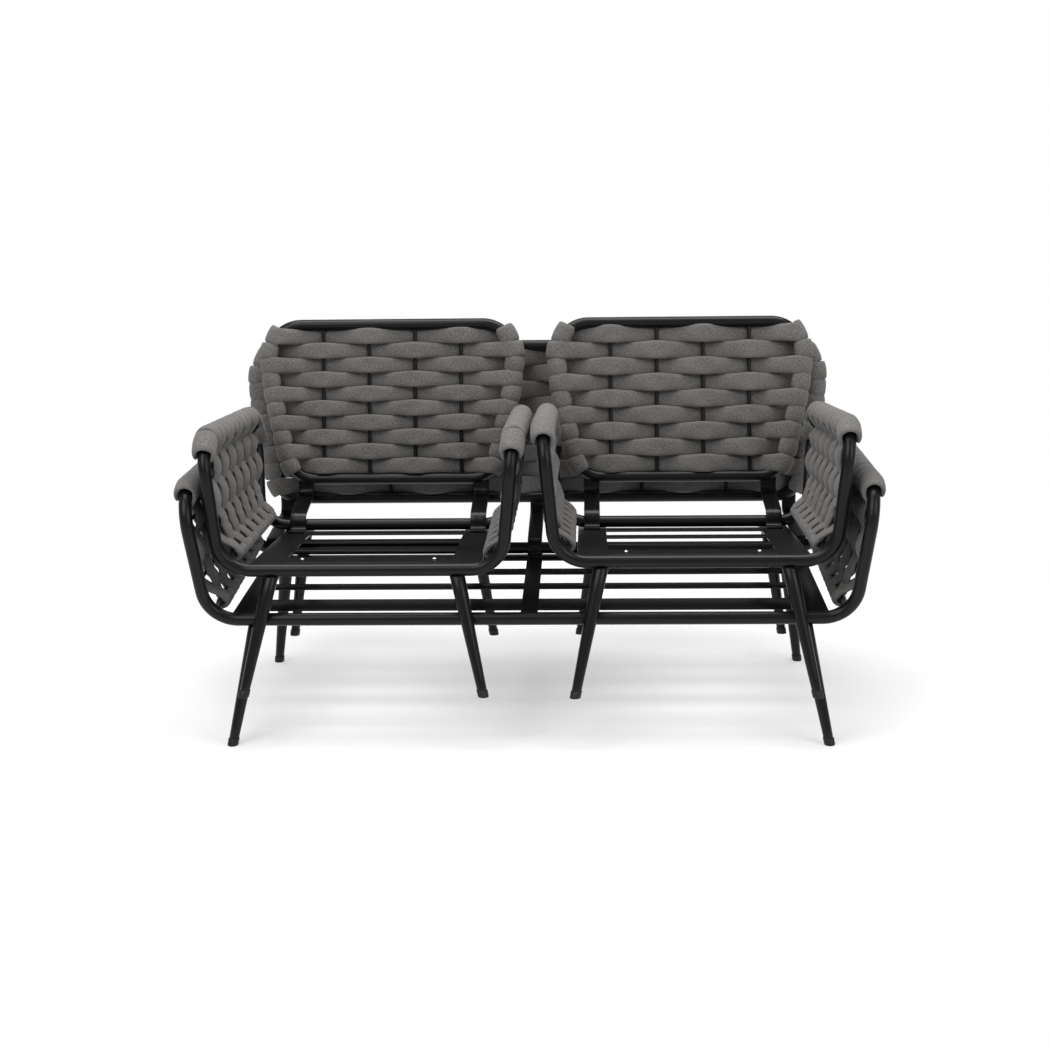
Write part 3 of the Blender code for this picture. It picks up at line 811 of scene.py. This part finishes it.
def back_strap(seat, straps, row, heights, halves):
    """One row: over and under the rods, turned round both side tubes."""
    pitch = (TOP_ROW_V - LOW_ROW_V) / (seat.rows - 1)
    v = TOP_ROW_V - row * pitch
    half = float(np.interp(v, heights, halves))
    slope = (np.interp(v + PROBE, heights, halves) - np.interp(v - PROBE, heights, halves)) / (2 * PROBE)
    slope = float(np.clip(slope, -END_SLANT, END_SLANT))
    forward = back_point(seat, 0, 0, 1) - back_point(seat, 0, 0)
    up = back_point(seat, 0, 1) - back_point(seat, 0, 0)
    sideways = Vector((1, 0, 0))
    xs = [-half] + back_rod_xs(seat) + [half]
    signs = [1 if (row + i + seat.parity) % 2 == 0 else -1 for i in range(len(xs))]
    lifts = [ON_TUBE] + [ON_ROD] * (len(xs) - 2) + [ON_TUBE]
    line = StrapLine()

    def turn(side, sign):
        """Round a side tube and a little way back in, on the far side."""
        outward = (sideways * side - up * slope).normalized()
        centre = back_point(seat, side * half, v)
        ring = wrap(centre, outward, forward, ON_TUBE, 90 * sign, -90 * sign)
        return ring + [centre - outward * inward - forward * sign * (ON_TUBE - drop)
                       for inward, drop in STUB]

    def tube_up(side):
        return (up + sideways * slope * side).normalized()

    wrap_w = pitch * WRAP_W * (1 if row else TOP_ROW_WRAP)
    line.put_all(turn(-1, signs[0])[::-1], tube_up(-1), wrap_w)
    for i in range(len(xs) - 1):
        for k in range(1, BACK_STEPS):
            u = k / BACK_STEPS
            x = xs[i] + (xs[i + 1] - xs[i]) * u
            n = signs[i] * lifts[i] * (1 - ease(u)) + signs[i + 1] * lifts[i + 1] * ease(u)
            crest = dip(u)
            side = signs[i] if u < 0.5 else signs[i + 1]
            line.put(back_point(seat, x, v, n), up, pitch * (DIP_W + (CREST_W - DIP_W) * crest),
                     STRAP_T * (DIP_T + (1 - DIP_T) * crest), -side * CUP * max(0, 2 * crest - 1))
        if i < len(xs) - 2:
            line.put(back_point(seat, xs[i + 1], v, signs[i + 1] * lifts[i + 1]), up, pitch * CREST_W,
                     STRAP_T, -signs[i + 1] * CUP)
    line.put_all(turn(1, signs[-1]), tube_up(1), wrap_w)
    straps.add(*line.values())


def make_back_straps(seat):
    """All rows of a back, from the top down."""
    straps = StrapMesh()
    heights, halves = back_side(seat)
    for row in range(seat.rows):
        back_strap(seat, straps, row, heights, halves)
    woven = piece(seat.name + "_back_weave", seat, straps.mesh(), STRAP,
                  [seat.name + "_back_straps"], 60.0)


def arm_edge_y(path, z, rear):
    """Where an arm's tube is at a height, on its front or its rear half."""
    half = sorted((p.z, p.y) for p in path if (p.y > 0) == rear)
    return float(np.interp(z, [z0 for z0, _ in half], [y for _, y in half]))


def rail_stretch(seat, path):
    """The part of the arm's tube that straps roll over, with lengths along it."""
    wrapped = [p for p in path if p.z > (REAR_ROLL_Z if p.y > 0 else seat.roll_z)]
    pts = np.array(wrapped)
    return pts, lengths_along(pts)


def rail_point(stretch, at):
    """The rail's middle at a length along it."""
    pts, length = stretch
    return Vector([float(np.interp(at, length, pts[:, i])) for i in range(3)])


def rail_ahead(stretch, at):
    """The rail's direction at a length along it."""
    pts, length = stretch
    return Vector([float(np.interp(at + PROBE, length, pts[:, i]) - np.interp(at - PROBE, length, pts[:, i]))
                   for i in range(3)]).normalized()


def rail_bend(stretch, at, pitch):
    """How far the rail turns under one strap, in radians."""
    (a, b), (c, d) = [[rail_point(stretch, at + s * pitch / 2 + step) for step in (-BEND_PROBE, BEND_PROBE)]
                      for s in (-BEND_REACH, BEND_REACH)]
    return (b - a).angle(d - c, 0.0)


def panel_point(path, front, rear, margin, share):
    """A column's place on one rod, and the columns' pitch there."""
    low_y = arm_edge_y(path, front.z, False) + margin
    high_y = arm_edge_y(path, rear.z, True) - margin
    point = front.lerp(rear, share)
    point.y = low_y + (high_y - low_y) * share
    return point, (high_y - low_y) / ARM_STRAPS


def rod_stations(seat, side, path, column):
    """A column's place and pitch on the low rod and on each arm rod above it."""
    share = (column + 0.5) / ARM_STRAPS
    ends = [low_rod_point(seat, side, rear) for rear in (False, True)]
    stations = [panel_point(path, *ends, PANEL_LOW_MARGIN, share)]
    for t in reversed(ARM_ROD_SHARES):
        near_top = max(0, (t - PANEL_TOP_FROM) / PANEL_TOP_OVER)
        margin = PANEL_MARGIN + (PANEL_TOP_MARGIN - PANEL_MARGIN) * near_top
        ends = [post_point(seat, side, rear, t) for rear in (False, True)]
        stations.append(panel_point(path, *ends, margin, share))
    return stations


def facing_out(direction, axis, side):
    """Square to both, and away from the seat."""
    out = direction.cross(axis)
    out.normalize()
    return out if out.x * side > 0 else -out


def arm_directions(places, side, ahead):
    """Up along the strap and outward at each place, and the way up to the rail."""
    last = len(places) - 1
    ups = [(places[min(last, k + 1)] - places[max(0, k - 1)]).normalized() for k in range(last + 1)]
    outs = [facing_out(up, ALONG_Y, side) for up in ups]
    rail_up = places[-1] - places[-2]
    rail_up = (rail_up - ahead * rail_up.dot(ahead)).normalized()
    outs[-1] = facing_out(rail_up, ahead, side)
    return ups, outs, rail_up


def arm_strap(seat, side, straps, path, stretch, column):
    """One column: turned under the low rod, woven up over the rods, rolled over the arm rail."""
    whole = stretch[1][-1]
    at = whole * (column + 0.5) / ARM_STRAPS
    ahead = rail_ahead(stretch, at)
    stations = rod_stations(seat, side, path, column) + [(rail_point(stretch, at), whole / ARM_STRAPS)]
    places = [p for p, _ in stations]
    pitches = [w for _, w in stations]
    lifts = [ON_ROD] * (len(places) - 1) + [ON_TUBE]
    signs = [1 if (column + k) % 2 else -1 for k in range(len(places))]
    ups, outs, rail_up = arm_directions(places, side, ahead)
    cup_sign = 1 if ups[1].cross(ALONG_Y).dot(outs[1]) > 0 else -1
    line = StrapLine()
    first = 0 if signs[0] > 0 else 180
    foot = wrap(places[0], outs[0], ups[0], lifts[0], first, first - FOOT_TURN * signs[0])
    line.put_all(foot[::-1], ALONG_Y, pitches[0] * FOOT_W)
    for k in range(len(places) - 1):
        axis = ahead if k == len(places) - 2 else ALONG_Y
        for j in range(1, ARM_STEPS):
            u = j / ARM_STEPS
            e = ease(u)
            middle = places[k].lerp(places[k + 1], u)
            middle.y = places[k].y + (places[k + 1].y - places[k].y) * e
            out = outs[k].lerp(outs[k + 1], u).normalized()
            lift = signs[k] * lifts[k] * (1 - e) + signs[k + 1] * lifts[k + 1] * e
            crest = dip(u)
            pitch = pitches[k] + (pitches[k + 1] - pitches[k]) * u
            facing = cup_sign * (signs[k] if u < 0.5 else signs[k + 1])
            line.put(middle + out * lift, ALONG_Y.lerp(axis, e).normalized(),
                     pitch * (ARM_DIP_W + (ARM_CREST_W - ARM_DIP_W) * crest),
                     STRAP_T * (DIP_T + (1 - DIP_T) * crest), facing * CUP * max(0, 2 * crest - 1))
        if k < len(places) - 2:
            line.put(places[k + 1] + outs[k + 1] * signs[k + 1] * lifts[k + 1], ALONG_Y,
                     pitches[k + 1] * ARM_CREST_W, STRAP_T, cup_sign * signs[k + 1] * CUP)
    first = 0 if signs[-1] > 0 else 180
    roll = wrap(places[-1], outs[-1], rail_up, lifts[-1], first, first + ROLL_TURN * signs[-1])
    line.put_all(roll, ahead, pitches[-1] * ROLL_W + rail_bend(stretch, at, pitches[-1]) * ON_TUBE)
    straps.add(*line.values())


def make_arm_straps(seat, side):
    """All columns of one arm, along its rail."""
    path = arm_path(seat, side)
    stretch = rail_stretch(seat, path)
    straps = StrapMesh()
    for column in range(ARM_STRAPS):
        arm_strap(seat, side, straps, path, stretch, column)
    word = "right" if side > 0 else "left"
    woven = piece(f"{seat.name}_arm_weave_{word}", seat, straps.mesh(), STRAP,
                  [f"{seat.name}_arm_straps_{word}"], 60.0)


# The deck of plates and slats

def softened(mesh, offset):
    """The mesh with its sharp edges rounded."""
    shape = bmesh.new()
    shape.from_mesh(mesh)
    sharp = [e for e in shape.edges if e.calc_face_angle(0) > math.radians(60)]
    bmesh.ops.bevel(shape, geom=sharp, offset=offset, segments=3, profile=0.5, affect="EDGES")
    shape.to_mesh(mesh)
    shape.free()
    return mesh


def bar_mesh(seat, x0, x1, y0, y1, low, high):
    """A flat bar with rounded edges that follows the deck's slope."""
    section = ((y0, low), (y1, low), (y1, high), (y0, high))
    bar = loft([[Vector((x, y, deck_top(seat, y) + h)) for y, h in section] for x in (x0, x1)])
    return softened(bar, EDGE_R)


def plate_mesh(seat, side):
    """A side plate from front to rear; behind the rear tube only its tail goes on."""
    inner, outer = seat.plate
    neck = REAR_Y + TUBE_R
    outline = [(inner, RAIL_Y + TUBE_R), (outer, RAIL_Y + TUBE_R), (outer, seat.plate_rear),
               (seat.tail_x, seat.plate_rear)]
    if seat.tail_x > inner:
        outline += [(seat.tail_x, neck), (inner, neck)]
    plate = loft([[Vector((side * x, y, deck_top(seat, y) + h)) for x, y in outline] for h in (-DECK_T, 0)])
    return softened(plate, EDGE_R)


def make_deck(seat):
    """Side plates, the sofa's middle bar, and the slats across them."""
    end = seat.plate[1] - SLAT_END_INSET
    half_bar = seat.bar_w / 2
    bars = [plate_mesh(seat, 1), plate_mesh(seat, -1)]
    if seat.bar_w:
        bars.append(bar_mesh(seat, -half_bar, half_bar, RAIL_Y + TUBE_R, seat.plate_rear, -DECK_T, 0))
    bars += [bar_mesh(seat, -end, end, y0, y1, -DECK_T + SLAT_INSET, -SLAT_INSET)
             for y0, y1 in (FRONT_SLAT,) + SLATS]
    piece(seat.name + "_deck_bars", seat, joined(bars), BLACK_COAT, [seat.name + "_deck"])


# Brackets, legs and screws

def bracket_line(seat):
    """The bent bar's middle line: from the deck, over the rear tube, up behind the back's low tube."""
    lift = GAP + BAR_T / 2
    reach = TUBE_R + lift
    front_y = REAR_Y - reach
    rail = Vector((0, seat.back_y + reach + GAP, seat.back_z))
    corners = [(Vector((0, front_y - BAR_FOOT, deck_top(seat, front_y - BAR_FOOT) + lift)), 0),
               (Vector((0, front_y, deck_top(seat, front_y) + lift)), BAR_FOOT_BEND),
               (Vector((0, front_y, rear_z(seat) + BAR_RISE)), BAR_BEND),
               (rail - Vector((0, 0, BAR_UNDER)), BAR_BEND), (rail + Vector((0, 0, BAR_OVER)), 0)]
    return rounded(corners, closed=False)


def bracket_profile(half):
    """The bar's section: a sideways place and a share of the thickness; ribs rise at RIB_CRESTS."""
    rib = half * RIB_SHARE
    top_xs = (half, rib + RIB_HALF_W, rib, rib - RIB_HALF_W,
              -rib + RIB_HALF_W, -rib, -rib - RIB_HALF_W, -half)
    return [(-half, -0.5), (half, -0.5)] + [(x, 0.5) for x in top_xs]


def bracket_rings(seat):
    """Sections along the bar, with two ribs where it bends up to the back."""
    line = bracket_line(seat)
    length = np.concatenate([[0], np.cumsum([(b - a).length for a, b in zip(line, line[1:])])])
    profile = bracket_profile(seat.bracket_w / 2)
    rings = []
    for i, point in enumerate(line):
        before = line[max(0, i - 1)]
        after = line[min(len(line) - 1, i + 1)]
        along = (after - before).normalized()
        normal = Vector((0, -along.z, along.y))
        share = min(1, max(0, (length[i] / length[-1] - RIB_FROM) / RIB_OVER))
        rise = RIB_RISE * math.sin(math.pi * share)
        rings.append([point + Vector((x, 0, 0)) + normal * (h * BAR_T + (rise if k in RIB_CRESTS else 0))
                      for k, (x, h) in enumerate(profile)])
    return rings


def make_brackets(seat):
    """Ribbed flat bars between the deck and the back."""
    words = {-1: "left", 0: "middle", 1: "right"}
    rings = bracket_rings(seat)
    for x in seat.bracket_xs:
        bar = softened(loft([[p + Vector((x, 0, 0)) for p in ring] for ring in rings]), BAR_EDGE_R)
        name = seat.name + "_back_bracket_" + words[(x > 0) - (x < 0)]
        piece(name.replace("bracket", "stay"), seat, bar, BLACK_COAT, [name])


def front_leg_ends(seat, side):
    """A front leg's top under the front rail, and its foot."""
    top_x, foot_x = seat.front_leg
    return (Vector((side * top_x, RAIL_Y, RAIL_Z - TUBE_R - GAP)),
            Vector((side * foot_x, -FOOT_Y, -seat.extra_leg)))


def rear_leg_ends(seat, side):
    """A rear leg's top under the side plate, and its foot."""
    top_x, top_y, foot_x, foot_y = seat.rear_leg
    return (Vector((side * top_x, top_y, deck_top(seat, top_y - LEG_TOP_R) - DECK_T - GAP)),
            Vector((side * foot_x, foot_y, 0)))


def turned(foot, top, profile):
    """A round shape on a leaning axis; each profile pair is a height and a radius."""
    run = top.z - foot.z
    return loft([circle(foot.lerp(top, height / run), radius, LEG_SIDES) for height, radius in profile])


def make_leg(seat, side, end, top, foot):
    """A tapered leg, and the moulded cap that its foot is pressed into."""
    run = top.z - foot.z

    def taper(height):
        return LEG_LOW_R + (LEG_TOP_R - LEG_LOW_R) * height / run

    word = end + ("_right" if side > 0 else "_left")
    shank = [(CAP_H - LEG_SUNK, taper(CAP_H) - LEG_EDGE_H), (CAP_H + GAP, taper(CAP_H))]
    shank += [(run * k / 6, taper(run * k / 6)) for k in range(1, 6)]
    shank.append((run - LEG_EDGE_H, taper(run)))
    shank.append((run, taper(run) - LEG_EDGE_W))
    piece(f"{seat.name}_shank_{word}", seat, turned(foot, top, shank), BLACK_COAT,
          [f"{seat.name}_leg_{word}"])
    rim = taper(CAP_H) + CAP_STEP
    cap = [(0.0, taper(0) + CAP_STEP - CAP_FOOT_EDGE), (CAP_FOOT_EDGE, taper(CAP_FOOT_EDGE) + CAP_STEP),
           (CAP_H - CAP_RIM_EDGE, rim), (CAP_H, rim - CAP_RIM_EDGE), (CAP_H, taper(CAP_H) - CAP_MOUTH)]
    piece(f"{seat.name}_glide_{word}", seat, turned(foot, top, cap), CAP_PLASTIC,
          [f"{seat.name}_foot_cap_{word}"])


def make_legs(seat):
    """Two front legs and two rear legs."""
    for side in (-1, 1):
        make_leg(seat, side, "front", *front_leg_ends(seat, side))
        make_leg(seat, side, "rear", *rear_leg_ends(seat, side))


def make_screws(seat):
    """Button heads on the wide front slat."""
    y = sum(FRONT_SLAT) / 2
    for side in (-1, 1):
        low = Vector((side * SCREW_X, y, deck_top(seat, y + SCREW_R) + GAP))
        rings = [circle(low + Vector((0, 0, h)), SCREW_R * share, BUTTON_SIDES) for h, share in BUTTON]
        word = "right" if side > 0 else "left"
        piece(f"{seat.name}_button_{word}", seat, loft(rings), STEEL,
              [f"{seat.name}_screw_{word}"])


# Studio

def make_camera():
    """The photograph's camera, held to the sofa."""
    pitch, yaw, roll = (math.radians(a) for a in (CAMERA_PITCH, CAMERA_YAW, CAMERA_ROLL))
    ahead = Vector((math.sin(yaw) * math.cos(pitch), math.cos(yaw) * math.cos(pitch), -math.sin(pitch)))
    level = Vector((math.cos(yaw), -math.sin(yaw), 0))
    above = level.cross(ahead)
    right = level * math.cos(roll) + above * math.sin(roll)
    up = above * math.cos(roll) - level * math.sin(roll)
    data = bpy.data.cameras.new("camera")
    data.sensor_width = SENSOR_MM
    data.lens = FOCAL_PX * SENSOR_MM / PICTURE_W
    camera = bpy.data.objects.new("camera", data)
    bpy.context.scene.collection.objects.link(camera)
    turn = Matrix((right, up, -ahead)).transposed().to_4x4()
    camera.matrix_world = Matrix.Translation(SOFA.place @ Vector(CAMERA_AT)) @ turn
    bpy.context.scene.camera = camera


def area_light(name, at, aim, size, power):
    """A soft light turned to its aim."""
    data = bpy.data.lights.new(name, "AREA")
    data.shape = "RECTANGLE"
    data.size, data.size_y = size
    data.energy = power
    lamp = bpy.data.objects.new(name, data)
    bpy.context.scene.collection.objects.link(lamp)
    lamp.location = at
    lamp.rotation_euler = (Vector(aim) - Vector(at)).to_track_quat("-Z", "Y").to_euler()


def backdrop_rays(tree):
    """1 for rays that should see the plain white background: camera and transmission."""
    rays = tree.nodes.new("ShaderNodeLightPath")
    return math_node(tree, "MAXIMUM", rays.outputs["Is Camera Ray"], rays.outputs["Is Transmission Ray"])


def make_world():
    """White behind the object, and a faint light from all round."""
    world = bpy.data.worlds.new("studio")
    bpy.context.scene.world = world
    world.use_nodes = True
    tree = world.node_tree
    shown = tree.nodes.new("ShaderNodeBackground")
    shown.inputs["Color"].default_value = (1, 1, 1, 1)
    fill = tree.nodes["Background"]
    fill.inputs["Color"].default_value = WORLD_COLOUR
    fill.inputs["Strength"].default_value = WORLD_STRENGTH
    mix = tree.nodes.new("ShaderNodeMixShader")
    tree.links.new(backdrop_rays(tree), mix.inputs[0])
    tree.links.new(fill.outputs[0], mix.inputs[1])
    tree.links.new(shown.outputs[0], mix.inputs[2])
    tree.links.new(mix.outputs[0], tree.nodes["World Output"].inputs[0])


def make_floor():
    """A pale floor that keeps the shadow and turns into the white background further out."""
    shape = bmesh.new()
    bmesh.ops.create_grid(shape, x_segments=1, y_segments=1, size=FLOOR_HALF)
    mesh = bpy.data.meshes.new("floor")
    shape.to_mesh(mesh)
    shape.free()
    floor = bpy.data.objects.new("floor", mesh)
    bpy.context.scene.collection.objects.link(floor)
    made, tree, shader = new_material("pale_floor")
    shader.inputs["Base Color"].default_value = (0.93, 0.93, 0.93, 1)
    shader.inputs["Roughness"].default_value = 1.0
    shader.inputs["Specular IOR Level"].default_value = 0.0
    place = tree.nodes.new("ShaderNodeNewGeometry")
    away = tree.nodes.new("ShaderNodeVectorMath")
    away.operation = "LENGTH"
    tree.links.new(place.outputs["Position"], away.inputs[0])
    fade = tree.nodes.new("ShaderNodeMapRange")
    fade.interpolation_type = "SMOOTHSTEP"
    fade.inputs["From Min"].default_value = FADE_FROM
    fade.inputs["From Max"].default_value = FADE_TO
    fade.inputs["To Min"].default_value = FADE_LOW
    tree.links.new(away.outputs["Value"], fade.inputs["Value"])
    shine = tree.nodes.new("ShaderNodeEmission")
    mix = tree.nodes.new("ShaderNodeMixShader")
    tree.links.new(fade.outputs["Result"], mix.inputs[0])
    tree.links.new(shader.outputs[0], mix.inputs[1])
    tree.links.new(shine.outputs[0], mix.inputs[2])
    tree.links.new(mix.outputs[0], tree.nodes["Material Output"].inputs["Surface"])
    mesh.materials.append(made)


def make_studio():
    """Camera, surroundings, floor and lights."""
    make_camera()
    make_world()
    make_floor()
    for light in LIGHTS:
        area_light(*light)
    bpy.context.scene.view_settings.view_transform = "Standard"


def make_seat(seat):
    """Every piece of one seat."""
    make_frame(seat)
    make_back_frame(seat)
    make_deck(seat)
    make_brackets(seat)
    make_legs(seat)
    make_back_straps(seat)
    for side in (-1, 1):
        make_arm_straps(seat, side)
    if seat.screws:
        make_screws(seat)


set_places()
make_studio()
for each in (SOFA, LEFT, RIGHT):
    make_seat(each)
